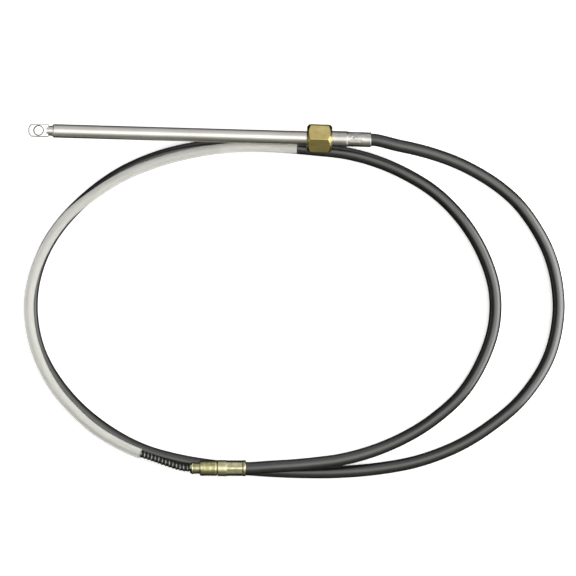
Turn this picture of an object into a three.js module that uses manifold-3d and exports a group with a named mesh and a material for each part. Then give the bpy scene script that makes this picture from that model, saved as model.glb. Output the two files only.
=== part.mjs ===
// A boat steering cable, lying in two loose turns on a level floor. Sizes are in millimetres, and Z is up.
// The ram end lies along X, with its eye towards minus X. The helm end lies on the cable's own lower turn.
// The origin is on the floor, under the middle of the outline.
import * as THREE from 'three';
import { mergeVertices } from 'three/addons/utils/BufferGeometryUtils.js';
import Module from 'manifold-3d';

const wasm = await Module();
wasm.setup();

// Clearances
const fitGap = 0.3;
const ramEndGap = 0.6;

// Where the ram end lies: the middle of the nut's front face
const nutFace = new THREE.Vector3(9.1, 192.4, 30.5);

// Ram: a straight tube with a flattened eye plugged into its free end
const ramDiameter = 15.875;
const ramWall = 1.3;
const ramLength = 308;
const ramEndRounding = 1.2;
const eyeLength = 24.2;
const eyeWidth = 14.9;
const eyeThickness = 8.5;
const eyeTipRadius = 9.5;
const eyeHoleDiameter = 10.2;
const eyeHoleFromTip = 12.4;
const eyeNeckDiameter = 12;
const eyeNeckLength = 5;
const eyePlugLength = 10;

// Coupling nut: a hexagon with both ends chamfered, a wide threaded bore and a narrow hole at its back
const nutAcrossFlats = 31.75;
const nutLength = 29.6;
const nutRoll = 5.1;
const nutBoreDiameter = 20.6;
const nutBoreChamfer = 0.9;
const nutBackWall = 5.3;
const nutChamferAngle = 45;
const nutFaceShare = 0.87;

// Output sleeve: turned from bar, with a flange that the nut pulls on, crimped on the conduit
const sleeveFlangeDiameter = 20;
const sleeveFlangeLength = 14;
const sleeveHubDiameter = 18.5;
const sleeveHubLength = 23.5;
const sleeveCrimpDiameter = 17.3;
const sleeveCrimpLength = 26.9;
const sleeveTaper = 1.2;
const sleeveRimChamfer = 0.8;
const sleeveSeatDepth = 23;
const sleeveThroatLength = 4;
const sleeveThroatDiameter = 10;

// Guide tube: fixed in the sleeve, and the ram slides over it
const guideDiameter = 12.2;
const guideWall = 1.1;
const guideEndGap = 11.3;

// Conduit: steel wires under a black jacket
const conduitDiameter = 14.5;
const conduitSides = 12;
const conduitStep = 30;
const straightLead = 5;

// Helm end fitting: a turned hub with a nose, a groove and a thread, and a ferrule crimped on the conduit
const helmNose = new THREE.Vector3(-117.5, -199.55, 24.4);
const helmHeading = 1.6;
const noseChamferLength = 2.6;
const noseChamferDepth = 1.5;
const noseDiameter = 14.2;
const noseLength = 4.4;
const grooveDiameter = 13.2;
const grooveLength = 7.2;
const threadDiameter = 18.4;
const threadLength = 20.8;
const threadChamfer = 0.9;
const hubTailLength = 8;
const ferruleDiameter = 19;
const ferruleLength = 33.4;
const ferruleRim = 0.9;

// Core and its guard tube
const coreDiameter = 8.7;
const coreSides = 12;
const coreBareLength = 61;
const coreLength = 610;
const coreInHub = 30;
const guardDiameter = 11.8;
const guardBoreDiameter = 9.9;
const guardLength = 640;
const guardSides = 12;
const coreStep = 20;

// The least share of a step between two stations of a swept piece
const leastStepShare = 1 / 3;

// How finely round shapes are drawn
const turnedFaces = 36;
const roundingSteps = 4;
const eyeArcSteps = 20;
const routeDivisions = 2000;

// Corners nearer than this are one corner, and places on a curve nearer than the slack are one place
const weldDistance = 1e-4;
const placeSlack = 1e-9;

// The conduit's route from the sleeve's mouth to the ferrule's mouth, along its middle
const conduitRoute = [
  [100.0, 190.4, 30.2], [114.0, 187.2, 29.3], [131.5, 184.0, 27.3], [149.7, 180.1, 24.2],
  [167.8, 175.1, 20.4], [186.5, 168.7, 16.4], [204.8, 160.6, 12.8], [223.8, 150.4, 9.9],
  [241.9, 138.3, 8.0], [260.5, 122.2, 7.3], [280.6, 96.8, 7.25], [298.2, 65.2, 7.25],
  [308.6, 30.0, 7.25], [311.3, -10.0, 7.25], [300.6, -60.0, 7.25], [270.6, -108.0, 7.25],
  [234.4, -140.9, 7.25], [197.6, -164.9, 7.25], [151.8, -183.9, 7.25], [106.4, -194.0, 7.25],
  [60.0, -199.4, 7.25], [12.2, -201.0, 7.25], [-32.7, -200.2, 7.25], [-80.0, -197.5, 7.25],
  [-127.1, -191.7, 7.25], [-171.4, -180.9, 7.25], [-209.4, -163.0, 7.25], [-247.2, -136.0, 7.25],
  [-277.5, -103.4, 7.25], [-298.2, -68.4, 7.25], [-308.4, -30.0, 7.25], [-308.0, 12.0, 7.25],
  [-294.2, 56.0, 7.25], [-265.6, 97.6, 7.25], [-219.0, 138.8, 7.25], [-171.3, 163.6, 7.25],
  [-121.7, 177.6, 7.25], [-75.4, 182.5, 7.25], [-28.2, 182.2, 7.25], [18.0, 179.5, 7.25],
  [54.0, 176.5, 7.25], [90.0, 168.3, 7.25], [126.6, 153.8, 7.25], [163.8, 131.7, 7.25],
  [196.2, 100.1, 7.25], [221.2, 60.8, 7.25], [235.2, 20.0, 7.25], [235.8, -22.0, 7.25],
  [222.9, -64.8, 7.25], [199.5, -104.4, 7.25], [164.7, -137.0, 7.3], [135.0, -156.4, 7.9],
  [106.3, -170.2, 10.1], [79.5, -179.7, 14.2], [55.5, -185.7, 18.0], [32.0, -189.4, 21.2],
  [6.0, -192.7, 23.3], [-20.0, -195.0, 24.2],
];

// The core's route from the hub's nose, and on through the guard tube to its far end
const coreRoute = [
  [-131.0, -198.2, 24.2], [-146.0, -193.8, 23.6], [-162.0, -188.6, 22.6], [-178.6, -183.6, 21.4],
  [-202.5, -173.4, 20.7], [-230.0, -157.6, 20.6], [-256.3, -135.6, 20.6], [-279.5, -109.8, 20.6],
  [-297.0, -80.0, 20.6], [-308.6, -46.0, 20.6], [-312.6, -10.0, 20.6], [-306.5, 26.6, 20.6],
  [-291.0, 62.6, 20.6], [-268.0, 94.6, 20.6], [-236.0, 121.6, 20.6], [-200.0, 144.2, 20.6],
  [-160.0, 160.8, 20.6], [-117.6, 172.5, 20.6], [-75.0, 178.9, 20.6], [-40.0, 180.4, 20.6],
  [-3.4, 179.9, 20.6], [12.0, 179.5, 20.6],
];

// The part of a curve between two distances along it. Its stations lie at whole steps of the full curve,
// so that two pieces that share a route bend at the same places, and where it leaves a straight bore.
class Stretch extends THREE.Curve {
  constructor(curve, from, to, step, fixed = []) {
    super();
    this.curve = curve;
    this.total = curve.getLength();
    const kept = [from, ...fixed, to];
    const whole = [...Array(Math.floor(to / step)).keys()].map((index) => (index + 1) * step);
    const isClear = (place) => kept.every((other) => Math.abs(other - place) > step * leastStepShare);
    const free = whole.filter((place) => place > from && isClear(place));
    this.stations = [...kept, ...free].sort((a, b) => a - b);
  }

  steps() {
    return this.stations.length - 1;
  }

  share(t) {
    const place = t * this.steps();
    const index = Math.min(Math.floor(place + placeSlack), this.steps() - 1);
    const from = this.stations[index];
    const to = this.stations[index + 1];
    return Math.min((from + (to - from) * (place - index)) / this.total, 1);
  }

  getPoint(t) {
    return this.curve.getPointAt(this.share(t));
  }

  getPointAt(t) {
    return this.getPoint(t);
  }

  getTangentAt(t) {
    return this.curve.getTangentAt(this.share(t));
  }
}

const group = new THREE.Group();

function add(name, geometry, material) {
  const mesh = new THREE.Mesh(geometry, material);
  mesh.name = name;
  group.add(mesh);
  return mesh;
}

// A body turned about X: rows of [distance along X, radius], in a closed round that starts along the outside
function turned(rows) {
  const profile = rows.map(([along, radius]) => new THREE.Vector2(radius, along));
  profile.push(profile[0].clone());
  const geometry = new THREE.LatheGeometry(profile, turnedFaces);
  geometry.rotateZ(-Math.PI / 2);
  return geometry;
}

// A body without a bore, turned about X: rows of [distance along X, radius] from one end to the other
function turnedSolid(rows, faces = turnedFaces) {
  const first = rows[0][0];
  const last = rows[rows.length - 1][0];
  const profile = [[first, 0], ...rows, [last, 0]].map(([along, radius]) => new THREE.Vector2(radius, along));
  const geometry = new THREE.LatheGeometry(profile, faces);
  geometry.rotateZ(-Math.PI / 2);
  return geometry;
}

function solid(geometry) {
  const bare = geometry.clone();
  bare.deleteAttribute('normal');
  bare.deleteAttribute('uv');
  const merged = mergeVertices(bare, weldDistance);
  return new wasm.Manifold(new wasm.Mesh({
    numProp: 3,
    vertProperties: new Float32Array(merged.attributes.position.array),
    triVerts: new Uint32Array(merged.index.array),
  }));
}

function geometryOf(manifold) {
  const mesh = manifold.getMesh();
  const geometry = new THREE.BufferGeometry();
  geometry.setAttribute('position', new THREE.BufferAttribute(mesh.vertProperties, 3));
  geometry.setIndex(new THREE.BufferAttribute(mesh.triVerts, 1));
  geometry.computeVertexNormals();
  return geometry;
}

// A closed round section with as many sides as asked, and a bore where one is given
function roundSection(diameter, sides, boreDiameter = 0) {
  const corner = (radius, index) => {
    const angle = 2 * Math.PI * index / sides;
    return new THREE.Vector2(radius * Math.cos(angle), radius * Math.sin(angle));
  };
  const indices = [...Array(sides).keys()];
  const shape = new THREE.Shape(indices.map((index) => corner(diameter / 2, index)));
  if (boreDiameter > 0) {
    shape.holes.push(new THREE.Path(indices.map((index) => corner(boreDiameter / 2, index))));
  }
  return shape;
}

function sweep(shape, stretch) {
  return new THREE.ExtrudeGeometry(shape, {
    steps: stretch.steps(),
    bevelEnabled: false,
    extrudePath: stretch,
  });
}

// A point on the helm fitting's axis, so far behind its nose
function helmPoint(behindNose) {
  const angle = THREE.MathUtils.degToRad(helmHeading);
  const offset = new THREE.Vector3(Math.cos(angle), Math.sin(angle), 0).multiplyScalar(behindNose);
  return helmNose.clone().add(offset);
}

// Places that follow from the sizes, along X from the nut's front face
const flangeBack = nutLength - nutBackWall - fitGap;
const flangeFront = flangeBack - sleeveFlangeLength;
const ramInnerEnd = flangeFront - ramEndGap;
const ramOuterEnd = ramInnerEnd - ramLength;
const hubEnd = flangeBack + sleeveHubLength;
const sleeveEnd = hubEnd + sleeveTaper + sleeveCrimpLength;
const guideEnd = flangeFront + sleeveSeatDepth - fitGap;
const guideStart = ramOuterEnd + eyePlugLength + guideEndGap;
const throatEnd = flangeFront + sleeveSeatDepth + sleeveThroatLength;
const ferruleStart = noseLength + grooveLength + threadLength;

function placeOnRamAxis(mesh) {
  mesh.position.copy(nutFace);
}

function ramTube(material) {
  const outer = ramDiameter / 2;
  const inner = outer - ramWall;
  const rounding = [...Array(roundingSteps + 1).keys()].map((index) => {
    const angle = 0.5 * Math.PI * index / roundingSteps;
    return [
      ramOuterEnd + ramEndRounding * (1 - Math.sin(angle)),
      outer - ramEndRounding * (1 - Math.cos(angle)),
    ];
  }).reverse();
  placeOnRamAxis(add('ram_tube', turned([
    ...rounding,
    [ramInnerEnd, outer],
    [ramInnerEnd, inner],
    [ramOuterEnd, inner],
  ]), material));
}

function ramEye(material) {
  const tip = ramOuterEnd - eyeNeckLength - eyeLength;
  const half = eyeWidth / 2;
  const sweepAngle = Math.asin(half / eyeTipRadius);
  const outline = new THREE.Shape();
  outline.absarc(eyeTipRadius, 0, eyeTipRadius, Math.PI - sweepAngle, Math.PI + sweepAngle, false);
  outline.lineTo(eyeLength, -half);
  outline.lineTo(eyeLength, half);
  outline.closePath();
  const hole = new THREE.Path();
  hole.absarc(eyeHoleFromTip, 0, eyeHoleDiameter / 2, 0, 2 * Math.PI, false);
  outline.holes.push(hole);
  const flat = new THREE.ExtrudeGeometry(outline, {
    depth: eyeThickness,
    bevelEnabled: false,
    curveSegments: eyeArcSteps,
  });
  flat.translate(tip, 0, -eyeThickness / 2);
  const neckStart = tip + eyeLength - fitGap;
  const plugDiameter = ramDiameter - 2 * ramWall - 2 * fitGap;
  const shank = turnedSolid([
    [neckStart, eyeNeckDiameter / 2],
    [ramOuterEnd, eyeNeckDiameter / 2],
    [ramOuterEnd, plugDiameter / 2],
    [ramOuterEnd + eyePlugLength, plugDiameter / 2],
  ]);
  placeOnRamAxis(add('ram_eye', geometryOf(solid(flat).add(solid(shank))), material));
}

function couplingNut(material) {
  const corner = nutAcrossFlats / Math.sqrt(3);
  const hexagon = new THREE.CylinderGeometry(corner, corner, nutLength, 6);
  hexagon.rotateZ(-Math.PI / 2);
  hexagon.translate(nutLength / 2, 0, 0);
  hexagon.rotateX(THREE.MathUtils.degToRad(nutRoll));
  const faceRadius = nutFaceShare * nutAcrossFlats / 2;
  const chamferDepth = (corner - faceRadius) * Math.tan(THREE.MathUtils.degToRad(nutChamferAngle));
  const chamfered = turnedSolid([
    [0, faceRadius],
    [chamferDepth, corner],
    [nutLength - chamferDepth, corner],
    [nutLength, faceRadius],
  ], 2 * turnedFaces);
  const bore = nutBoreDiameter / 2;
  const backHole = sleeveHubDiameter / 2 + fitGap;
  const opening = turnedSolid([
    [-nutBoreChamfer, bore + 2 * nutBoreChamfer],
    [nutBoreChamfer, bore],
    [nutLength - nutBackWall, bore],
    [nutLength - nutBackWall, backHole],
    [nutLength + fitGap, backHole],
  ]);
  const body = solid(hexagon).intersect(solid(chamfered)).subtract(solid(opening));
  placeOnRamAxis(add('coupling_nut', geometryOf(body), material));
}

function outputSleeve(material) {
  const conduitBore = conduitDiameter / 2 + fitGap;
  const rows = [
    [flangeFront, sleeveFlangeDiameter / 2],
    [flangeBack, sleeveFlangeDiameter / 2],
    [flangeBack, sleeveHubDiameter / 2],
    [hubEnd, sleeveHubDiameter / 2],
    [hubEnd + sleeveTaper, sleeveCrimpDiameter / 2],
    [sleeveEnd - sleeveRimChamfer, sleeveCrimpDiameter / 2],
    [sleeveEnd, sleeveCrimpDiameter / 2 - sleeveRimChamfer],
    [sleeveEnd, conduitBore],
    [throatEnd, conduitBore],
    [throatEnd, sleeveThroatDiameter / 2],
    [throatEnd - sleeveThroatLength, sleeveThroatDiameter / 2],
    [throatEnd - sleeveThroatLength, guideDiameter / 2 + fitGap],
    [flangeFront, guideDiameter / 2 + fitGap],
  ];
  placeOnRamAxis(add('output_sleeve', turned(rows), material));
}

function guideTube(material) {
  const outer = guideDiameter / 2;
  const inner = outer - guideWall;
  placeOnRamAxis(add('guide_tube', turned([
    [guideStart, outer],
    [guideEnd, outer],
    [guideEnd, inner],
    [guideStart, inner],
  ]), material));
}

function placeOnHelmAxis(mesh) {
  mesh.position.copy(helmNose);
  mesh.rotation.z = THREE.MathUtils.degToRad(helmHeading);
}

function helmHub(material) {
  const coreBore = coreDiameter / 2 + fitGap;
  const threadStart = noseLength + grooveLength;
  const tailRadius = conduitDiameter / 2;
  const rows = [
    [0, noseDiameter / 2 - noseChamferDepth],
    [noseChamferLength, noseDiameter / 2],
    [noseLength, noseDiameter / 2],
    [noseLength, grooveDiameter / 2],
    [threadStart, grooveDiameter / 2],
    [threadStart, threadDiameter / 2 - threadChamfer],
    [threadStart + threadChamfer, threadDiameter / 2],
    [ferruleStart - fitGap, threadDiameter / 2],
    [ferruleStart - fitGap, tailRadius],
    [ferruleStart + hubTailLength, tailRadius],
    [ferruleStart + hubTailLength, coreBore],
    [0, coreBore],
  ];
  placeOnHelmAxis(add('helm_hub', turned(rows), material));
}

function helmFerrule(material) {
  const bore = conduitDiameter / 2 + fitGap;
  const end = ferruleStart + ferruleLength;
  const outer = ferruleDiameter / 2;
  placeOnHelmAxis(add('helm_ferrule', turned([
    [ferruleStart, outer - ferruleRim],
    [ferruleStart + ferruleRim, outer],
    [end - ferruleRim, outer],
    [end, outer - ferruleRim],
    [end, bore],
    [ferruleStart, bore],
  ]), material));
}

// The conduit starts on its seat in the sleeve and ends on its seat in the ferrule
function conduit(material) {
  const alongRam = (distance) => nutFace.clone().add(new THREE.Vector3(distance, 0, 0));
  const seat = throatEnd + fitGap;
  const ferruleEnd = ferruleStart + ferruleLength;
  const points = [
    alongRam(seat),
    alongRam((seat + sleeveEnd) / 2),
    alongRam(sleeveEnd),
    alongRam(sleeveEnd + straightLead),
    ...conduitRoute.map((row) => new THREE.Vector3(...row)),
    helmPoint(ferruleEnd + straightLead),
    helmPoint(ferruleEnd),
    helmPoint(ferruleEnd - ferruleLength / 3),
    helmPoint(ferruleStart + hubTailLength + fitGap),
  ];
  const curve = new THREE.CatmullRomCurve3(points, false, 'centripetal');
  curve.arcLengthDivisions = routeDivisions;
  const length = curve.getLength();
  const leads = [
    sleeveEnd - seat + straightLead,
    length - (ferruleLength - hubTailLength - fitGap) - straightLead,
  ];
  const stretch = new Stretch(curve, 0, length, conduitStep, leads);
  add('conduit', sweep(roundSection(conduitDiameter, conduitSides), stretch), material);
}

// The core leaves the hub's nose, and the guard tube is pushed over it and runs on past its end
function coreAndGuard(coreMaterial, guardMaterial) {
  const points = [
    helmPoint(coreInHub),
    helmPoint(coreInHub / 2),
    helmPoint(0),
    helmPoint(-straightLead),
    ...coreRoute.map((row) => new THREE.Vector3(...row)),
  ];
  const curve = new THREE.CatmullRomCurve3(points, false, 'centripetal');
  curve.arcLengthDivisions = routeDivisions;
  const guardStart = coreInHub + coreBareLength;
  const core = new Stretch(curve, 0, coreInHub + coreLength, coreStep, [coreInHub + straightLead]);
  const guard = new Stretch(curve, guardStart, guardStart + guardLength, coreStep);
  add('core', sweep(roundSection(coreDiameter, coreSides), core), coreMaterial);
  const section = roundSection(guardDiameter, guardSides, guardBoreDiameter);
  add('core_guard_tube', sweep(section, guard), guardMaterial);
}

const steel = new THREE.MeshStandardMaterial({ color: 0xa9a7a2, roughness: 0.35, metalness: 1 });
const brass = new THREE.MeshStandardMaterial({ color: 0xc9b968, roughness: 0.3, metalness: 1 });
const blackJacket = new THREE.MeshStandardMaterial({ color: 0x1b1d1e, roughness: 0.42, metalness: 0 });
const darkSteel = new THREE.MeshStandardMaterial({ color: 0x2c2c2e, roughness: 0.4, metalness: 1 });
const milkyPlastic = new THREE.MeshStandardMaterial({ color: 0xcfcdc4, roughness: 0.3, metalness: 0 });

ramTube(steel);
ramEye(steel);
couplingNut(brass);
outputSleeve(steel);
guideTube(steel);
conduit(blackJacket);
helmHub(brass);
helmFerrule(brass);
coreAndGuard(darkSteel, milkyPlastic);

export default group;
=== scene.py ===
# A mechanical boat steering cable, lying in two loose turns on a pale floor. Sizes are in metres.
import math

import bmesh
import bpy
from mathutils import Matrix, Vector


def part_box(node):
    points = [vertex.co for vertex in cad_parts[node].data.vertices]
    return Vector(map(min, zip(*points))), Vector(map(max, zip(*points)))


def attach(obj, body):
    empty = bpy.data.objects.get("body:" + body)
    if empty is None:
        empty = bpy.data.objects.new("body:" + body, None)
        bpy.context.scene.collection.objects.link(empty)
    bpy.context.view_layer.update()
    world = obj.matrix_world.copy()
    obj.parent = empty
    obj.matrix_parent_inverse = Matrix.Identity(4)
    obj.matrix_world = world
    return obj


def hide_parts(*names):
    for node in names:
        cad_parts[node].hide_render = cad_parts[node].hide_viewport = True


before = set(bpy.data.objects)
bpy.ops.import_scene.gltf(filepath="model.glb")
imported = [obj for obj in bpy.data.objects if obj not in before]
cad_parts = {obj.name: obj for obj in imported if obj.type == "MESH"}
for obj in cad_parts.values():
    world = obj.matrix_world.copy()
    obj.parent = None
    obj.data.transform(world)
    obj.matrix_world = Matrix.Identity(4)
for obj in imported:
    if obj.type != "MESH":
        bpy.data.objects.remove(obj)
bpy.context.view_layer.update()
scene = bpy.context.scene

# The camera looks straight down from far above and is rolled a little, as the photograph was taken. The
# scale comes from the ram, which is 15.875 mm across and drawn 13.4 pixels wide.
pixel = 0.00118
picture_side = 576
picture_middle = Vector((-0.0081, 0.0155, 0))
camera_height = 8.0
camera_roll = math.radians(1.616)
sensor = 36.0

camera_data = bpy.data.cameras.new("camera")
camera_data.sensor_width = sensor
camera_data.lens = sensor * camera_height / (pixel * picture_side)
camera_data.clip_end = 50
camera = bpy.data.objects.new("camera", camera_data)
camera.location = picture_middle + Vector((0, 0, camera_height))
camera.rotation_euler = (0, 0, camera_roll)
scene.collection.objects.link(camera)
scene.camera = camera


# The conduit is the long black cable: steel wires under an extruded plastic jacket. It starts on its seat in
# the output sleeve, takes two loose turns on the floor and ends in the helm ferrule, over its own lower turn.
conduit_radius = 0.00725
conduit_route = [
    (100.0, 190.4, 30.2), (114.0, 187.2, 29.3), (131.5, 184.0, 27.3), (149.7, 180.1, 24.2),
    (167.8, 175.1, 20.4), (186.5, 168.7, 16.4), (204.8, 160.6, 12.8), (223.8, 150.4, 9.9),
    (241.9, 138.3, 8.0), (260.5, 122.2, 7.3), (280.6, 96.8, 7.25), (298.2, 65.2, 7.25),
    (308.6, 30.0, 7.25), (311.3, -10.0, 7.25), (300.6, -60.0, 7.25), (270.6, -108.0, 7.25),
    (234.4, -140.9, 7.25), (197.6, -164.9, 7.25), (151.8, -183.9, 7.25), (106.4, -194.0, 7.25),
    (60.0, -199.4, 7.25), (12.2, -201.0, 7.25), (-32.7, -200.2, 7.25), (-80.0, -197.5, 7.25),
    (-127.1, -191.7, 7.25), (-171.4, -180.9, 7.25), (-209.4, -163.0, 7.25), (-247.2, -136.0, 7.25),
    (-277.5, -103.4, 7.25), (-298.2, -68.4, 7.25), (-308.4, -30.0, 7.25), (-308.0, 12.0, 7.25),
    (-294.2, 56.0, 7.25), (-265.6, 97.6, 7.25), (-219.0, 138.8, 7.25), (-171.3, 163.6, 7.25),
    (-121.7, 177.6, 7.25), (-75.4, 182.5, 7.25), (-28.2, 182.2, 7.25), (18.0, 179.5, 7.25),
    (54.0, 176.5, 7.25), (90.0, 168.3, 7.25), (126.6, 153.8, 7.25), (163.8, 131.7, 7.25),
    (196.2, 100.1, 7.25), (221.2, 60.8, 7.25), (235.2, 20.0, 7.25), (235.8, -22.0, 7.25),
    (222.9, -64.8, 7.25), (199.5, -104.4, 7.25), (164.7, -137.0, 7.3), (135.0, -156.4, 7.9),
    (106.3, -170.2, 10.1), (79.5, -179.7, 14.2), (55.5, -185.7, 18.0), (32.0, -189.4, 21.2),
    (6.0, -192.7, 23.3), (-20.0, -195.0, 24.2),
]
ram_low, ram_high = (Vector(corner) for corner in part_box("ram_tube"))
sleeve_low, sleeve_high = (Vector(corner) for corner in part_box("output_sleeve"))
ram_axis = (ram_low + ram_high) / 2
sleeve_throat_end = sleeve_low.x + 0.027
helm_nose = Vector((-0.1175, -0.19955, 0.0244))
helm_heading = math.radians(1.6)
helm_direction = Vector((math.cos(helm_heading), math.sin(helm_heading), 0))
ferrule_start = 0.0324
ferrule_length = 0.0334
hub_tail = 0.008
fit_gap = 0.0003
straight_lead = 0.005
line_spacing = 0.004


def on_ram_axis(x):
    return Vector((x, ram_axis.y, ram_axis.z))


def in_metres(route):
    return [Vector(point) / 1000 for point in route]


def smooth_line(points, spacing):
    """Points a given distance apart along a smooth curve through the route's points."""
    ends = [2 * points[0] - points[1], *points, 2 * points[-1] - points[-2]]
    line = [points[0]]
    for before, start, end, after in zip(ends, ends[1:], ends[2:], ends[3:]):
        first, middle, last = (
            math.sqrt((b - a).length) for a, b in ((before, start), (start, end), (end, after))
        )
        leaving = (start - before) / first - (end - before) / (first + middle) + (end - start) / middle
        arriving = (end - start) / middle - (after - start) / (middle + last) + (after - end) / last
        leaving, arriving = leaving * middle, arriving * middle
        steps = max(2, round((end - start).length / spacing))
        for step in range(1, steps + 1):
            t = step / steps
            line.append(
                start * (2 * t**3 - 3 * t**2 + 1) + leaving * (t**3 - 2 * t**2 + t)
                + end * (3 * t**2 - 2 * t**3) + arriving * (t**3 - t**2)
            )
    return line


def distances(line):
    total = [0.0]
    for a, b in zip(line, line[1:]):
        total.append(total[-1] + (b - a).length)
    return total


def frames_along(line):
    """A matrix for each point of a line: its X axis follows the line, and it doesn't twist."""
    across = Vector((0, 0, 1))
    made = []
    for index, point in enumerate(line):
        along = (line[min(index + 1, len(line) - 1)] - line[max(index - 1, 0)]).normalized()
        across = (across - along * across.dot(along)).normalized()
        side = across.cross(along)
        made.append(Matrix((along, side, across)).transposed().to_4x4())
        made[-1].translation = point
    return made


def turn(profile, faces, closed=True):
    """A shell turned about X from a profile of (distance along X, radius)."""
    bm = bmesh.new()
    verts = [bm.verts.new((along, radius, 0)) for along, radius in profile]
    edges = [bm.edges.new(pair) for pair in zip(verts, verts[1:])]
    if closed:
        edges.append(bm.edges.new((verts[-1], verts[0])))
    bmesh.ops.spin(
        bm, geom=verts + edges, cent=(0, 0, 0), axis=(1, 0, 0), angle=2 * math.pi, steps=faces,
        use_merge=True, use_duplicate=False,
    )
    bmesh.ops.remove_doubles(bm, verts=bm.verts, dist=1e-7)
    bmesh.ops.recalc_face_normals(bm, faces=bm.faces)
    return bm


def bend(bm, line, start):
    """Lays a straight mesh that runs along X onto a line, from a distance along it, and keeps where each
    vertex lay on the straight piece in the attribute straight."""
    straight = bm.verts.layers.float_vector.new("straight")
    places, frames = distances(line), frames_along(line)
    index = 0
    for vert in sorted(bm.verts, key=lambda v: v.co.x):
        vert[straight] = vert.co
        along = min(max(start + vert.co.x, 0), places[-1])
        while index < len(places) - 2 and places[index + 1] < along:
            index += 1
        share = (along - places[index]) / (places[index + 1] - places[index])
        section = Vector((0, vert.co.y, vert.co.z))
        vert.co = (frames[index] @ section).lerp(frames[index + 1] @ section, share)


def new_piece(name, bm, material, sharp_angle=35):
    """Makes an object of a mesh, smooth except at its sharp edges."""
    mesh = bpy.data.meshes.new(name)
    bm.to_mesh(mesh)
    bm.free()
    mesh.materials.append(material)
    mesh.shade_smooth()
    mesh.set_sharp_from_angle(angle=math.radians(sharp_angle))
    piece = bpy.data.objects.new(name, mesh)
    scene.collection.objects.link(piece)
    return piece


def new_material(name, color, metallic, roughness, **settings):
    """A material with one Principled shader, whose constant values are set on its own sockets."""
    material = bpy.data.materials.new(name)
    material.use_nodes = True
    inputs = material.node_tree.nodes["Principled BSDF"].inputs
    inputs["Base Color"].default_value = (*color, 1)
    inputs["Metallic"].default_value = metallic
    inputs["Roughness"].default_value = roughness
    for socket, value in settings.items():
        inputs[socket.replace("_", " ")].default_value = value
    return material


def add_node(material, kind, inputs=None, **settings):
    """Adds a node. Its inputs are values or other nodes' outputs."""
    made = material.node_tree.nodes.new(kind)
    for name, value in settings.items():
        setattr(made, name, value)
    for name, value in (inputs or {}).items():
        if isinstance(value, bpy.types.NodeSocket):
            material.node_tree.links.new(value, made.inputs[name])
        else:
            made.inputs[name].default_value = value
    return made


def coordinates(material, attribute=None, scale=(1, 1, 1), rotation=(0, 0, 0)):
    """Object coordinates, or an attribute of the piece, scaled and turned by a Mapping node."""
    if attribute:
        source = add_node(material, "ShaderNodeAttribute", attribute_name=attribute).outputs["Vector"]
    else:
        source = add_node(material, "ShaderNodeTexCoord").outputs["Object"]
    return add_node(
        material, "ShaderNodeMapping", {"Vector": source, "Scale": scale, "Rotation": rotation}
    ).outputs["Vector"]


def noise(material, vector, scale, detail=3.0, roughness=0.5):
    return add_node(
        material, "ShaderNodeTexNoise",
        {"Vector": vector, "Scale": scale, "Detail": detail, "Roughness": roughness},
    ).outputs["Fac"]


def between(material, value, low, high, from_low=0.3, from_high=0.7):
    """Maps a pattern's value onto a range."""
    return add_node(
        material, "ShaderNodeMapRange",
        {"Value": value, "From Min": from_low, "From Max": from_high, "To Min": low, "To Max": high},
    ).outputs["Result"]


def blend_colors(material, factor, first, second):
    made = add_node(
        material, "ShaderNodeMix", {"Factor": factor}, data_type="RGBA", clamp_factor=True
    )
    for socket, value in ((made.inputs[6], first), (made.inputs[7], second)):
        if isinstance(value, bpy.types.NodeSocket):
            material.node_tree.links.new(value, socket)
        else:
            socket.default_value = (*value, 1)
    return made.outputs[2]


def drive(material, **sockets):
    """Links outputs of nodes to the shader's sockets."""
    shader = material.node_tree.nodes["Principled BSDF"]
    for name, value in sockets.items():
        material.node_tree.links.new(value, shader.inputs[name.replace("_", " ")])


def add_bump(material, height, distance, strength=1.0, under=None):
    inputs = {"Height": height, "Distance": distance, "Strength": strength}
    if under:
        inputs["Normal"] = under
    return add_node(material, "ShaderNodeBump", inputs).outputs["Normal"]


jacket = new_material("black_jacket", (0.007, 0.007, 0.0066), 0.0, 0.32, Specular_IOR_Level=1.0)
drawn = coordinates(jacket, "straight", scale=(12, 400, 400))
mottled = noise(jacket, coordinates(jacket, "straight"), 160, detail=4)
streaks = noise(jacket, drawn, 1.0, detail=3)
drive(
    jacket,
    Base_Color=blend_colors(
        jacket, between(jacket, mottled, 0, 1), (0.004, 0.004, 0.004), (0.011, 0.011, 0.01)
    ),
    Roughness=between(jacket, streaks, 0.26, 0.4),
    Normal=add_bump(jacket, noise(jacket, drawn, 2.2, detail=2), 0.00006, 0.5),
)

conduit_points = [
    on_ram_axis(sleeve_throat_end + fit_gap),
    on_ram_axis((sleeve_throat_end + fit_gap + sleeve_high.x) / 2),
    on_ram_axis(sleeve_high.x),
    on_ram_axis(sleeve_high.x + straight_lead),
    *in_metres(conduit_route),
    helm_nose + helm_direction * (ferrule_start + ferrule_length + straight_lead),
    helm_nose + helm_direction * (ferrule_start + ferrule_length),
    helm_nose + helm_direction * (ferrule_start + ferrule_length * 2 / 3),
    helm_nose + helm_direction * (ferrule_start + hub_tail + fit_gap),
]
conduit_line = smooth_line(conduit_points, line_spacing)
conduit_length = distances(conduit_line)[-1]
conduit_rings = 560
conduit_bm = turn(
    [(0, 0)]
    + [(conduit_length * ring / conduit_rings, conduit_radius) for ring in range(conduit_rings + 1)]
    + [(conduit_length, 0)],
    faces=40, closed=False,
)
bend(conduit_bm, conduit_line, 0)
conduit = new_piece("jacketed_conduit", conduit_bm, jacket)
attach(conduit, "cable")
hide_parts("conduit")


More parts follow.
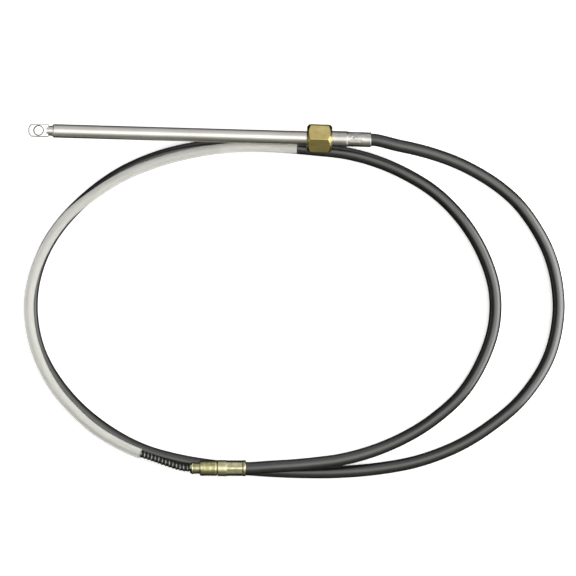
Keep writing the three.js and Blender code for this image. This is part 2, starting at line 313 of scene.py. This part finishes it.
# The core is the moving inner cable: an oiled steel rope with a bright coarse wire wound round it like a
# screw, which a helm's gear drives. The rope is near-black, partly from its oil and partly as painted shade
# in the gaps between the wire's turns. It comes out of the hub, and its far end is cut square in the guard
# tube.
core_radius = 0.00435
winding_radius = 0.0011
winding_relief = 0.0008
winding_pitch = 0.0044
core_bare = 0.061
core_length = 0.610
core_in_hub = 0.030
core_route = [
    (-131.0, -198.2, 24.2), (-146.0, -193.8, 23.6), (-162.0, -188.6, 22.6), (-178.6, -183.6, 21.4),
    (-202.5, -173.4, 20.7), (-230.0, -157.6, 20.6), (-256.3, -135.6, 20.6), (-279.5, -109.8, 20.6),
    (-297.0, -80.0, 20.6), (-308.6, -46.0, 20.6), (-312.6, -10.0, 20.6), (-306.5, 26.6, 20.6),
    (-291.0, 62.6, 20.6), (-268.0, 94.6, 20.6), (-236.0, 121.6, 20.6), (-200.0, 144.2, 20.6),
    (-160.0, 160.8, 20.6), (-117.6, 172.5, 20.6), (-75.0, 178.9, 20.6), (-40.0, 180.4, 20.6),
    (-3.4, 179.9, 20.6), (12.0, 179.5, 20.6),
]
core_line = smooth_line(
    [
        helm_nose + helm_direction * core_in_hub,
        helm_nose + helm_direction * core_in_hub / 2,
        helm_nose,
        helm_nose - helm_direction * straight_lead,
        *in_metres(core_route),
    ],
    line_spacing,
)
core_end = core_in_hub + core_length

# The rope's near-black colour is partly its oil and partly painted shade in the gaps between the wire's
# turns.
rope = new_material("oiled_rope_and_gap_shade", (0.03, 0.03, 0.029), 1.0, 0.5)
soaked = noise(rope, coordinates(rope, "straight"), 260, detail=3)
drive(
    rope,
    Base_Color=blend_colors(rope, between(rope, soaked, 0, 1), (0.015, 0.015, 0.015), (0.06, 0.06, 0.056)),
    Roughness=between(rope, soaked, 0.4, 0.6),
)
wire = new_material("winding_wire", (0.3, 0.3, 0.29), 1.0, 0.3)
oily = noise(wire, coordinates(wire, "straight"), 220, detail=3)
drive(
    wire,
    Base_Color=blend_colors(wire, between(wire, oily, 0, 1), (0.16, 0.16, 0.155), (0.42, 0.42, 0.4)),
    Roughness=between(wire, oily, 0.24, 0.42),
)
rope_radius = core_radius - winding_relief
rope_rings = 150
core_bm = turn(
    [(0, 0)] + [(core_end * ring / rope_rings, rope_radius) for ring in range(rope_rings + 1)]
    + [(core_end, 0)],
    faces=24, closed=False,
)
winding_turns = math.floor((core_end - 2 * winding_radius) / winding_pitch)
steps_a_turn = 18
winding_bm = bmesh.new()
bmesh.ops.create_circle(
    winding_bm, segments=10, radius=winding_radius,
    matrix=Matrix.Translation((winding_radius, core_radius - winding_radius, 0)),
)
bmesh.ops.spin(
    winding_bm, geom=winding_bm.verts[:] + winding_bm.edges[:], cent=(0, 0, 0), axis=(1, 0, 0),
    dvec=(winding_pitch / steps_a_turn, 0, 0), angle=2 * math.pi * winding_turns,
    steps=steps_a_turn * winding_turns, use_merge=False, use_duplicate=False,
)
bmesh.ops.holes_fill(winding_bm, edges=winding_bm.edges[:], sides=12)
bmesh.ops.recalc_face_normals(winding_bm, faces=winding_bm.faces)
for face in winding_bm.faces:
    face.material_index = 1
winding_mesh = bpy.data.meshes.new("winding")
winding_bm.to_mesh(winding_mesh)
winding_bm.free()
core_bm.from_mesh(winding_mesh)
bpy.data.meshes.remove(winding_mesh)
bend(core_bm, core_line, 0)
core = new_piece("wound_core", core_bm, rope)
core.data.materials.append(wire)
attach(core, "cable")
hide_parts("core")


# The guard tube is a length of milky plastic tube pushed over the core, so that its oil stays on it in the
# box. Both its ends are cut square, and the last stretch of it is empty.
guard_radius = 0.0059
guard_bore = 0.00495
guard_length = 0.640
guard_start = core_in_hub + core_bare

milky = new_material("milky_tube", (0.81, 0.81, 0.78), 0.0, 0.3, Alpha=0.48)
cloudy = noise(milky, coordinates(milky, "straight", scale=(40, 300, 300)), 1.0, detail=3)
drive(
    milky,
    Base_Color=blend_colors(
        milky, between(milky, cloudy, 0, 1), (0.77, 0.77, 0.73), (0.86, 0.86, 0.83)
    ),
    Roughness=between(milky, cloudy, 0.24, 0.34),
)
guard_rings = 200
stations = [guard_length * ring / guard_rings for ring in range(guard_rings + 1)]
guard_bm = turn(
    [(x, guard_radius) for x in stations] + [(x, guard_bore) for x in reversed(stations)], faces=40
)
bend(guard_bm, core_line, guard_start)
guard = new_piece("guard_tube", guard_bm, milky)
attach(guard, "cable")
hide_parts("core_guard_tube")


# The output sleeve is turned from stainless bar. Its flange sits inside the nut, and the guide tube is fixed
# in it. Its thin end is swaged down on the jacket and staked with a punch, which leaves a few dents.
flange_radius = 0.010
flange_length = 0.014
sleeve_hub_radius = 0.00925
sleeve_hub_length = 0.0235
sleeve_crimp_radius = 0.00865
sleeve_taper = 0.0012
sleeve_rim = 0.0008
edge_break = 0.0003
sleeve_throat_radius = 0.005
guide_seat = 0.0064
seat_depth = 0.023


def place_along_x(bm, origin, heading=0.0):
    bm.transform(Matrix.Translation(origin) @ Matrix.Rotation(heading, 4, "Z"))


def arc(center_x, center_r, radius, start, end, steps=6):
    """Points of a profile's round corner, between two angles in degrees from the direction of X."""
    angles = [math.radians(start + (end - start) * step / steps) for step in range(steps + 1)]
    return [(center_x + radius * math.cos(a), center_r + radius * math.sin(a)) for a in angles]


def stretch(start, end, radius, count):
    """Points along a plain part of a profile, so that it has vertices to dent."""
    return [(start + (end - start) * step / count, radius) for step in range(1, count)]


def smooth_step(value, low, high):
    share = min(max((value - low) / (high - low), 0), 1)
    return share * share * (3 - 2 * share)


def press(bm, start, end, edge, sides, depth, corner, first_flat, least_radius):
    """Presses lengthwise flats round a turned body between two places along X, to a depth at the flats'
    middles and a depth at the corners. The first flat's angle is in degrees from Y towards Z."""
    step = 2 * math.pi / sides
    for vert in bm.verts:
        radius = math.hypot(vert.co.y, vert.co.z)
        if radius < least_radius:
            continue
        angle = math.atan2(vert.co.z, vert.co.y) - math.radians(first_flat)
        from_flat = angle - step * round(angle / step)
        pressed = min(radius - corner, (radius - depth) / math.cos(from_flat))
        inside = smooth_step(vert.co.x, start, start + edge) * smooth_step(-vert.co.x, -end, -end + edge)
        vert.co.yz *= 1 + inside * (pressed / radius - 1)


def punch(bm, x, angle, size, depth, least_radius):
    """Punches one round dent in a turned body, at an angle in degrees from Y towards Z."""
    a = math.radians(angle)
    for vert in bm.verts:
        radius = math.hypot(vert.co.y, vert.co.z)
        if radius < least_radius:
            continue
        spot = Vector((x, radius * math.cos(a), radius * math.sin(a)))
        vert.co.yz *= 1 - depth * math.exp(-((vert.co - spot).length / size) ** 2) / radius


bright_steel = new_material("bright_steel", (0.46, 0.45, 0.43), 1.0, 0.26)
turning = noise(bright_steel, coordinates(bright_steel, scale=(2600, 40, 40)), 1.0, detail=3)
blotches = noise(bright_steel, coordinates(bright_steel), 110, detail=2)
drive(
    bright_steel,
    Base_Color=blend_colors(
        bright_steel, between(bright_steel, blotches, 0, 1), (0.38, 0.37, 0.35), (0.54, 0.53, 0.5)
    ),
    Roughness=between(bright_steel, blotches, 0.24, 0.34),
    Normal=add_bump(
        bright_steel, turning, 0.000003, 0.5, under=add_bump(bright_steel, blotches, 0.00002, 0.4)
    ),
)

hub_end = flange_length + sleeve_hub_length
crimp_start = hub_end + sleeve_taper
sleeve_length = sleeve_high.x - sleeve_low.x
conduit_bore = conduit_radius + fit_gap
sleeve_bm = turn(
    [(edge_break, flange_radius - edge_break), (2 * edge_break, flange_radius)]
    + [(flange_length - 0.0004, flange_radius), (flange_length, flange_radius - 0.0004)]
    + [(flange_length, sleeve_hub_radius)]
    + stretch(flange_length, hub_end, sleeve_hub_radius, 20)
    + arc(hub_end - 0.0006, sleeve_hub_radius - 0.0006, 0.0006, 90, 45, 3)
    + [(crimp_start, sleeve_crimp_radius)]
    + stretch(crimp_start, sleeve_length - sleeve_rim, sleeve_crimp_radius, 70)
    + arc(sleeve_length - sleeve_rim, sleeve_crimp_radius - sleeve_rim, sleeve_rim, 90, 0)
    + [(sleeve_length, conduit_bore + 0.0001), (sleeve_length - 0.0001, conduit_bore)]
    + [(seat_depth + 0.004, conduit_bore), (seat_depth + 0.004, sleeve_throat_radius)]
    + [(seat_depth, sleeve_throat_radius), (seat_depth, guide_seat)]
    + [(edge_break, guide_seat), (0, guide_seat + edge_break), (0, flange_radius - 2 * edge_break)],
    faces=96,
)
round_end_length = 0.0105
crimp_end = sleeve_length - round_end_length
press(
    sleeve_bm, crimp_start + 0.001, crimp_end, edge=0.002, sides=6, depth=0.00025, corner=0,
    first_flat=43, least_radius=sleeve_hub_radius - 0.001,
)
deep_dents = [(0.0442, angle, 0.0005) for angle in (78, 198, 318)]
shallow_dents = [(0.0477, angle, 0.0003) for angle in (60, 240)]
dent_size = 0.0011
for x, angle, depth in deep_dents + shallow_dents:
    punch(sleeve_bm, x, angle, dent_size, depth, sleeve_crimp_radius - 0.0004)
place_along_x(sleeve_bm, on_ram_axis(sleeve_low.x))
sleeve = new_piece("crimped_sleeve", sleeve_bm, bright_steel)
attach(sleeve, "cable")
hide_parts("output_sleeve")


# The guide tube is a drawn stainless tube, fixed in the sleeve, with the core inside it. The ram slides over
# it, so that all of it is hidden until the ram runs out. Its free end is rounded a little.
guide_low, guide_high = (Vector(corner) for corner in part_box("guide_tube"))
guide_radius = (guide_high.y - guide_low.y) / 2
guide_wall = 0.0011
drawn_steel = new_material("drawn_steel", (0.56, 0.55, 0.53), 1.0, 0.25)
drawn_lines = noise(drawn_steel, coordinates(drawn_steel, scale=(6, 900, 900)), 1.0, detail=3)
oil_film = noise(drawn_steel, coordinates(drawn_steel), 45, detail=3)
drive(
    drawn_steel,
    Base_Color=blend_colors(
        drawn_steel, between(drawn_steel, oil_film, 0, 1), (0.47, 0.455, 0.42), (0.6, 0.59, 0.57)
    ),
    Roughness=between(drawn_steel, drawn_lines, 0.18, 0.34),
    Normal=add_bump(drawn_steel, drawn_lines, 0.00001, 0.5),
)
guide_length = guide_high.x - guide_low.x
guide_bm = turn(
    arc(0.0004, guide_radius - 0.0004, 0.0004, 180, 90, 4)
    + stretch(0, guide_length, guide_radius, 12)
    + [(guide_length, guide_radius), (guide_length, guide_radius - guide_wall)]
    + [(0, guide_radius - guide_wall)],
    faces=72,
)
place_along_x(guide_bm, on_ram_axis(guide_low.x))
guide = new_piece("inner_guide_tube", guide_bm, drawn_steel)
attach(guide, "cable")
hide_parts("guide_tube")


# The ram is a straight stainless tube, ground across to a satin finish. Its free end is rolled in over the
# neck of the eye, which leaves two faint rings.
ram_radius = 0.0079375
ram_wall = 0.0013
ram_rounding = 0.0012
ram_length = ram_high.x - ram_low.x
ground_steel = new_material("ground_steel", (0.6, 0.59, 0.56), 1.0, 0.3)
grinding = noise(ground_steel, coordinates(ground_steel, scale=(2400, 50, 50)), 1.0, detail=3)
stains = noise(ground_steel, coordinates(ground_steel, scale=(22, 60, 60)), 1.0, detail=4)
drive(
    ground_steel,
    Base_Color=blend_colors(
        ground_steel, between(ground_steel, stains, 0, 1), (0.55, 0.54, 0.50), (0.65, 0.635, 0.61)
    ),
    Roughness=between(ground_steel, grinding, 0.27, 0.38),
    Normal=add_bump(ground_steel, grinding, 0.000004, 0.6),
)


def shallow_groove(x, radius, depth, width):
    near_rows = [(x - 1.3 * width, radius), (x - width, radius)]
    floor_rows = [(x - width / 2, radius - depth), (x + width / 2, radius - depth)]
    return [*near_rows, *floor_rows, (x + width, radius), (x + 1.3 * width, radius)]


ram_bm = turn(
    arc(ram_rounding, ram_radius - ram_rounding, ram_rounding, 180, 90, 8)
    + [(ram_rounding + 0.0002, ram_radius)]
    + shallow_groove(0.0030, ram_radius, 0.00007, 0.0003)
    + shallow_groove(0.0058, ram_radius, 0.00005, 0.0003)
    + stretch(0.008, ram_length, ram_radius, 14)
    + [(ram_length - 0.0004, ram_radius), (ram_length, ram_radius - 0.0004)]
    + [(ram_length, ram_radius - ram_wall), (0, ram_radius - ram_wall)],
    faces=96,
)
place_along_x(ram_bm, on_ram_axis(ram_low.x))
ram = new_piece("steel_ram", ram_bm, ground_steel)
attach(ram, "ram")
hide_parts("ram_tube")


# The eye is pressed flat from round stainless bar and drilled for the steering link's bolt. Its round neck is
# plugged into the ram. The flats are bright, with softened edges and a chamfer round the hole.
eye_low, eye_high = (Vector(corner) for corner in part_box("ram_eye"))
eye_flat_length = 0.0242
eye_width = 0.0149
eye_thickness = 0.0085
eye_tip_radius = 0.0095
eye_hole_radius = 0.0051
eye_hole_from_tip = 0.0124
eye_hole_bevel_width = 0.0011
eye_hole_bevel_depth = 0.0026
eye_neck_radius = 0.006
eye_neck_length = 0.005
eye_neck_root = 0.0025
eye_plug_radius = ram_radius - ram_wall - fit_gap
eye_edge = 0.0012


def combine(bm, other, operation):
    """Joins, cuts or intersects two closed shells, and gives one."""
    shells = []
    for part in (bm, other):
        mesh = bpy.data.meshes.new("shell")
        part.to_mesh(mesh)
        part.free()
        shells.append(bpy.data.objects.new("shell", mesh))
        scene.collection.objects.link(shells[-1])
    modifier = shells[0].modifiers.new("combine", "BOOLEAN")
    modifier.operation = operation
    modifier.solver = "EXACT"
    modifier.object = shells[1]
    made = bmesh.new()
    made.from_object(shells[0], bpy.context.evaluated_depsgraph_get())
    for shell in shells:
        bpy.data.meshes.remove(shell.data)
    bmesh.ops.remove_doubles(made, verts=made.verts, dist=1e-7)
    return made


pressed_steel = new_material("pressed_steel", (0.62, 0.61, 0.58), 1.0, 0.24)
rolled = noise(pressed_steel, coordinates(pressed_steel, scale=(60, 900, 900)), 1.0, detail=3)
handled = noise(pressed_steel, coordinates(pressed_steel), 180, detail=4)
drive(
    pressed_steel,
    Base_Color=blend_colors(
        pressed_steel, between(pressed_steel, handled, 0, 1), (0.56, 0.55, 0.52), (0.68, 0.67, 0.65)
    ),
    Roughness=between(pressed_steel, handled, 0.2, 0.34),
    Normal=add_bump(pressed_steel, rolled, 0.000008, 0.5),
)

eye_bm = bmesh.new()
tip_angle = math.asin(eye_width / 2 / eye_tip_radius)
tip_steps = 24
outline = [(eye_flat_length, eye_width / 2)]
for step in range(tip_steps + 1):
    a = math.pi - tip_angle + 2 * tip_angle * step / tip_steps
    outline.append((eye_tip_radius * (1 + math.cos(a)), eye_tip_radius * math.sin(a)))
outline.append((eye_flat_length, -eye_width / 2))
floor_face = eye_bm.faces.new([eye_bm.verts.new((x, y, -eye_thickness / 2)) for x, y in outline])
raised = bmesh.ops.extrude_face_region(eye_bm, geom=[floor_face])["geom"]
bmesh.ops.translate(
    eye_bm, verts=[v for v in raised if isinstance(v, bmesh.types.BMVert)], vec=(0, 0, eye_thickness)
)
bmesh.ops.recalc_face_normals(eye_bm, faces=eye_bm.faces)
rims = [edge for edge in eye_bm.edges if edge.calc_face_angle(0) > math.radians(60)]
bmesh.ops.bevel(
    eye_bm, geom=rims, offset=eye_edge, segments=4, profile=0.5, affect="EDGES", material=-1,
    clamp_overlap=True,
)
neck_bm = turn(
    [(eye_flat_length - eye_neck_root, 0), (eye_flat_length - eye_neck_root, eye_neck_radius - 0.0004)]
    + [(eye_flat_length + eye_neck_length - fit_gap, eye_neck_radius)]
    + [(eye_flat_length + eye_neck_length - fit_gap, eye_plug_radius)]
    + [(eye_high.x - eye_low.x, eye_plug_radius), (eye_high.x - eye_low.x, 0)],
    faces=64, closed=False,
)
eye_bm = combine(eye_bm, neck_bm, "UNION")
half = eye_thickness / 2
cutter_overrun = 0.001
bevel_mouth = eye_hole_radius + eye_hole_bevel_width * (1 + cutter_overrun / eye_hole_bevel_depth)
hole_bm = turn(
    [(-half - cutter_overrun, 0), (-half - cutter_overrun, bevel_mouth)]
    + [(-half + eye_hole_bevel_depth, eye_hole_radius), (half - eye_hole_bevel_depth, eye_hole_radius)]
    + [(half + cutter_overrun, bevel_mouth), (half + cutter_overrun, 0)],
    faces=64, closed=False,
)
hole_bm.transform(Matrix.Translation((eye_hole_from_tip, 0, 0)) @ Matrix.Rotation(math.pi / 2, 4, "Y"))
eye_bm = combine(eye_bm, hole_bm, "DIFFERENCE")
place_along_x(eye_bm, on_ram_axis(eye_low.x))
eye = new_piece("drilled_eye", eye_bm, pressed_steel, sharp_angle=30)
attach(eye, "ram")
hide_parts("ram_eye")


# The coupling nut is milled from hexagonal brass bar and chamfered at both ends. Its bore is threaded for the
# engine's tilt tube, and its narrow back end pulls on the sleeve's flange.
nut_low, nut_high = (Vector(corner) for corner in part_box("coupling_nut"))
nut_across_flats = 0.03175
nut_length = nut_high.x - nut_low.x
nut_roll = math.radians(5.1)
nut_bore_radius = 0.0103
nut_back_wall = 0.0053
nut_back_radius = sleeve_hub_radius + fit_gap
nut_face_share = 0.87
nut_chamfer_angle = math.radians(45)
nut_thread_pitch = 0.0254 / 14
nut_thread_depth = 0.0009
nut_bore_chamfer = 0.0009
nut_ridge_bevel = 0.0004

milled_brass = new_material("milled_brass", (0.56, 0.47, 0.19), 1.0, 0.3)
mill_lines = noise(milled_brass, coordinates(milled_brass, scale=(1500, 60, 60)), 1.0, detail=3)
tarnish = noise(milled_brass, coordinates(milled_brass, scale=(90, 140, 140)), 1.0, detail=4)
drive(
    milled_brass,
    Base_Color=blend_colors(
        milled_brass, between(milled_brass, tarnish, 0, 1), (0.47, 0.37, 0.13), (0.62, 0.53, 0.23)
    ),
    Roughness=between(milled_brass, tarnish, 0.36, 0.24),
    Normal=add_bump(milled_brass, mill_lines, 0.000006, 0.5),
)

corner_radius = nut_across_flats / math.sqrt(3)
face_radius = nut_face_share * nut_across_flats / 2
chamfer_depth = (corner_radius - face_radius) * math.tan(nut_chamfer_angle)
hex_bm = bmesh.new()
bmesh.ops.create_cone(
    hex_bm, cap_ends=True, segments=6, radius1=corner_radius, radius2=corner_radius, depth=nut_length,
    matrix=Matrix.Translation((nut_length / 2, 0, 0)) @ Matrix.Rotation(math.pi / 2, 4, "Y"),
)
corner = max(hex_bm.verts, key=lambda v: (round(v.co.z, 6), -v.co.x))
hex_bm.transform(Matrix.Rotation(nut_roll + math.atan2(corner.co.y, corner.co.z), 4, "X"))
ridges = [e for e in hex_bm.edges if abs(e.verts[0].co.x - e.verts[1].co.x) > nut_length / 2]
bmesh.ops.bevel(
    hex_bm, geom=ridges, offset=nut_ridge_bevel, segments=3, profile=0.5, affect="EDGES", material=-1,
)
chamfer_bm = turn(
    [(0, 0), (0, face_radius - 0.0002), (0.0001, face_radius), (chamfer_depth, corner_radius)]
    + [(nut_length - chamfer_depth, corner_radius), (nut_length - 0.0001, face_radius)]
    + [(nut_length, face_radius - 0.0002), (nut_length, 0)],
    faces=144, closed=False,
)
nut_bm = combine(hex_bm, chamfer_bm, "INTERSECT")
thread_end = nut_length - nut_back_wall
thread_rows = []
for groove in range(int((thread_end - 2 * nut_bore_chamfer - 0.002) / nut_thread_pitch)):
    x = 2 * nut_bore_chamfer + groove * nut_thread_pitch
    thread_rows += [(x, nut_bore_radius), (x + 0.42 * nut_thread_pitch, nut_bore_radius + nut_thread_depth)]
    thread_rows += [(x + 0.55 * nut_thread_pitch, nut_bore_radius + nut_thread_depth)]
bore_bm = turn(
    [(-0.001, 0), (-0.001, nut_bore_radius + nut_bore_chamfer + 0.001)]
    + [(nut_bore_chamfer, nut_bore_radius)] + thread_rows
    + [(thread_end, nut_bore_radius), (thread_end, nut_back_radius)]
    + [(nut_length - 0.0004, nut_back_radius), (nut_length + 0.001, nut_back_radius + 0.0014)]
    + [(nut_length + 0.001, 0)],
    faces=96, closed=False,
)
nut_bm = combine(nut_bm, bore_bm, "DIFFERENCE")
place_along_x(nut_bm, on_ram_axis(nut_low.x))
nut = new_piece("brass_nut", nut_bm, milled_brass, sharp_angle=20)
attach(nut, "nut")
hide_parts("coupling_nut")


# The helm hub is turned from brass bar, with a bevelled nose, a groove for the helm's locking pin, and a
# thread. Its tail sits in the ferrule. The groove and the thread's roots are painted darker, as painted shade
# in these recesses.
nose_radius = 0.0071
nose_bevel_length = 0.0026
nose_bevel_depth = 0.0015
nose_length = 0.0044
groove_radius = 0.0066
groove_length = 0.0072
thread_radius = 0.0092
thread_pitch = 0.0014
thread_depth = 0.0004
thread_chamfer = 0.0009
nose_rim = 0.0004
core_bore = core_radius + fit_gap

turned_brass = new_material("turned_brass", (0.6, 0.56, 0.3), 1.0, 0.3)
tool_marks = noise(turned_brass, coordinates(turned_brass, scale=(2200, 90, 90)), 1.0, detail=3)
oil_stains = noise(turned_brass, coordinates(turned_brass), 240, detail=4)
# Painted shade: this attribute darkens the groove and the thread's roots towards a near-black brass.
recess_shade = add_node(turned_brass, "ShaderNodeAttribute", attribute_name="recess_shade").outputs["Fac"]
unshaded_brass = blend_colors(
    turned_brass, between(turned_brass, oil_stains, 0, 1), (0.47, 0.44, 0.23), (0.76, 0.73, 0.46)
)
drive(
    turned_brass,
    Base_Color=blend_colors(turned_brass, recess_shade, unshaded_brass, (0.06, 0.055, 0.03)),
    Roughness=between(turned_brass, oil_stains, 0.25, 0.16),
    Normal=add_bump(turned_brass, tool_marks, 0.000008, 0.5),
)

groove_end = nose_length + groove_length
thread_end_x = ferrule_start - fit_gap
hub_rows = [(0.0002, nose_radius - nose_bevel_depth), (nose_bevel_length, nose_radius)]
hub_rows += [(nose_length - nose_rim, nose_radius), (nose_length, nose_radius - nose_rim)]
hub_rows += [(nose_length, groove_radius), (groove_end, groove_radius)]
hub_rows += [(groove_end, thread_radius - thread_chamfer)]
for ridge in range(int((thread_end_x - groove_end - thread_chamfer) / thread_pitch)):
    x = groove_end + thread_chamfer + ridge * thread_pitch
    hub_rows += [(x, thread_radius - thread_depth), (x + 0.3 * thread_pitch, thread_radius)]
    hub_rows += [(x + 0.7 * thread_pitch, thread_radius)]
hub_rows += [(thread_end_x, thread_radius - thread_depth), (thread_end_x, conduit_radius)]
hub_rows += [(ferrule_start + hub_tail, conduit_radius), (ferrule_start + hub_tail, core_bore)]
hub_rows += [(0.0003, core_bore), (0, core_bore + 0.0003), (0, nose_radius - nose_bevel_depth - 0.0002)]
hub_bm = turn(hub_rows, faces=96)


def shade_recesses(bm, amount_at):
    """Marks how much painted shade each vertex gets, from its distance along X and its radius, as a vertex
    attribute.
    """
    layer = bm.verts.layers.float.new("recess_shade")
    for vert in bm.verts:
        vert[layer] = amount_at(vert.co.x, math.hypot(vert.co.y, vert.co.z))


# Painted shade: none on the nose, half in the groove, and up to 0.7 at the thread's roots.
def hub_recess_shade(x, radius):
    if x < nose_length - nose_rim / 2:
        return 0.0
    if x < groove_end + 0.0001:
        return 0.5
    return 0.7 * smooth_step(-radius, -thread_radius, -thread_radius + thread_depth)


shade_recesses(hub_bm, hub_recess_shade)
place_along_x(hub_bm, helm_nose, helm_heading)
hub = new_piece("turned_hub", hub_bm, turned_brass, sharp_angle=28)
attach(hub, "cable")
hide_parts("helm_hub")


# The helm ferrule is a brass tube slid over the jacket's end and crimped in an eight-sided die. The die
# leaves long flats between two round ends.
ferrule_radius = 0.0095
ferrule_rim = 0.0009
flats_start = 0.0098
flats_end_gap = 0.0024
crimped_brass = new_material("crimped_brass", (0.5, 0.47, 0.29), 1.0, 0.27)
die_marks = noise(crimped_brass, coordinates(crimped_brass, scale=(40, 500, 500)), 1.0, detail=3)
rubbed = noise(crimped_brass, coordinates(crimped_brass), 150, detail=4)
drive(
    crimped_brass,
    Base_Color=blend_colors(
        crimped_brass, between(crimped_brass, rubbed, 0, 1), (0.4, 0.38, 0.22), (0.6, 0.57, 0.38)
    ),
    Roughness=between(crimped_brass, rubbed, 0.33, 0.2),
    Normal=add_bump(crimped_brass, die_marks, 0.00001, 0.5),
)
ferrule_bm = turn(
    arc(ferrule_rim, ferrule_radius - ferrule_rim, ferrule_rim, 180, 90)
    + stretch(ferrule_rim, ferrule_length - ferrule_rim, ferrule_radius, 60)
    + arc(ferrule_length - ferrule_rim, ferrule_radius - ferrule_rim, ferrule_rim, 90, 0)
    + [(ferrule_length, conduit_bore), (0, conduit_bore)],
    faces=96,
)
press(
    ferrule_bm, flats_start, ferrule_length - flats_end_gap, edge=0.0018, sides=8, depth=0.0007,
    corner=0.00035, first_flat=22.5, least_radius=ferrule_radius - 0.001,
)
place_along_x(ferrule_bm, helm_nose + helm_direction * ferrule_start, helm_heading)
ferrule = new_piece("crimped_ferrule", ferrule_bm, crimped_brass)
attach(ferrule, "cable")
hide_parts("helm_ferrule")


# A pale, softly glowing floor under a dome of light. The dome is brightest overhead and leans past the ram,
# and it is dark on the left and below the floor's level. A low strip stands just past each side of the turns.
floor_side = 6.0
floor_glow = 0.5
floor_bm = bmesh.new()
bmesh.ops.create_grid(floor_bm, x_segments=1, y_segments=1, size=floor_side / 2)
floor_surface = new_material(
    "pale_floor", (0.92, 0.92, 0.92), 0.0, 0.9, Emission_Color=(1, 1, 1, 1), Emission_Strength=floor_glow
)
floor = new_piece("pale_floor", floor_bm, floor_surface)
floor.visible_glossy = False

strip_height = 0.22
strip_length = 0.5
strip_offset = 0.43
strips = [("right_strip", 1, 4.0), ("left_strip", -1, 0.6)]
for name, side, radiance in strips:
    strip_data = bpy.data.lights.new(name, "AREA")
    strip_data.shape = "RECTANGLE"
    strip_data.size, strip_data.size_y = strip_height, strip_length
    strip_data.energy = radiance * math.pi * strip_height * strip_length
    strip = bpy.data.objects.new(name, strip_data)
    strip.location = (side * strip_offset, 0, strip_height / 2)
    strip.rotation_euler = (0, side * math.pi / 2, 0)
    strip.visible_camera = False
    scene.collection.objects.link(strip)

room_light = 0.14
dark_light = 0.01
left_share = 0.1
soft_patches = [
    (Vector((0.0, 0.0, 1.0)), 8, 33, 1.25, (1.0, 0.995, 0.97)),
    (Vector((0.0, 0.36, 1.0)), 15, 85, 0.78, (1.0, 0.99, 1.0)),
    (Vector((0.75, 0.05, 0.66)), 8, 52, 1.3, (1.0, 1.0, 0.9)),
    (Vector((0.0, 1.0, 0.0)), 5, 35, 0.35, (1.0, 1.0, 1.0)),
    (Vector((0.0, -0.85, 0.5)), 5, 60, 0.12, (1.0, 1.0, 0.6)),
]
world = bpy.data.worlds.new("soft_dome")
world.use_nodes = True
scene.world = world
nodes, links = world.node_tree.nodes, world.node_tree.links
direction = nodes.new("ShaderNodeTexCoord").outputs["Generated"]


def faded(value, from_low, from_high, low, high):
    """Rises smoothly from one light level to another as a value goes through a range."""
    made = nodes.new("ShaderNodeMapRange")
    made.interpolation_type = "SMOOTHSTEP"
    made.inputs["From Min"].default_value = from_low
    made.inputs["From Max"].default_value = from_high
    made.inputs["To Min"].default_value = low
    made.inputs["To Max"].default_value = high
    links.new(value, made.inputs["Value"])
    return made.outputs["Result"]


def vector_math(operation, first, second):
    made = nodes.new("ShaderNodeVectorMath")
    made.operation = operation
    links.new(first, made.inputs[0])
    if isinstance(second, bpy.types.NodeSocket):
        links.new(second, made.inputs["Scale" if operation == "SCALE" else 1])
    else:
        made.inputs[1].default_value = second
    return made


axes = nodes.new("ShaderNodeSeparateXYZ")
links.new(direction, axes.inputs["Vector"])
total = faded(axes.outputs["Z"], -0.45, 0.15, dark_light, room_light)
for center, full_angle, zero_angle, strength, tint in soft_patches:
    facing = vector_math("DOT_PRODUCT", direction, center.normalized()).outputs["Value"]
    cosines = (math.cos(math.radians(angle)) for angle in (zero_angle, full_angle))
    patch_tint = nodes.new("ShaderNodeCombineXYZ")
    for axis, share in zip("XYZ", tint):
        patch_tint.inputs[axis].default_value = share
    patch = vector_math("SCALE", patch_tint.outputs["Vector"], faded(facing, *cosines, 0, strength))
    total = vector_math("ADD", total, patch.outputs["Vector"]).outputs["Vector"]
from_right = faded(axes.outputs["X"], -0.65, 0.0, left_share, 1)
links.new(vector_math("SCALE", total, from_right).outputs["Vector"], nodes["Background"].inputs["Color"])

scene.view_settings.view_transform = "Standard"
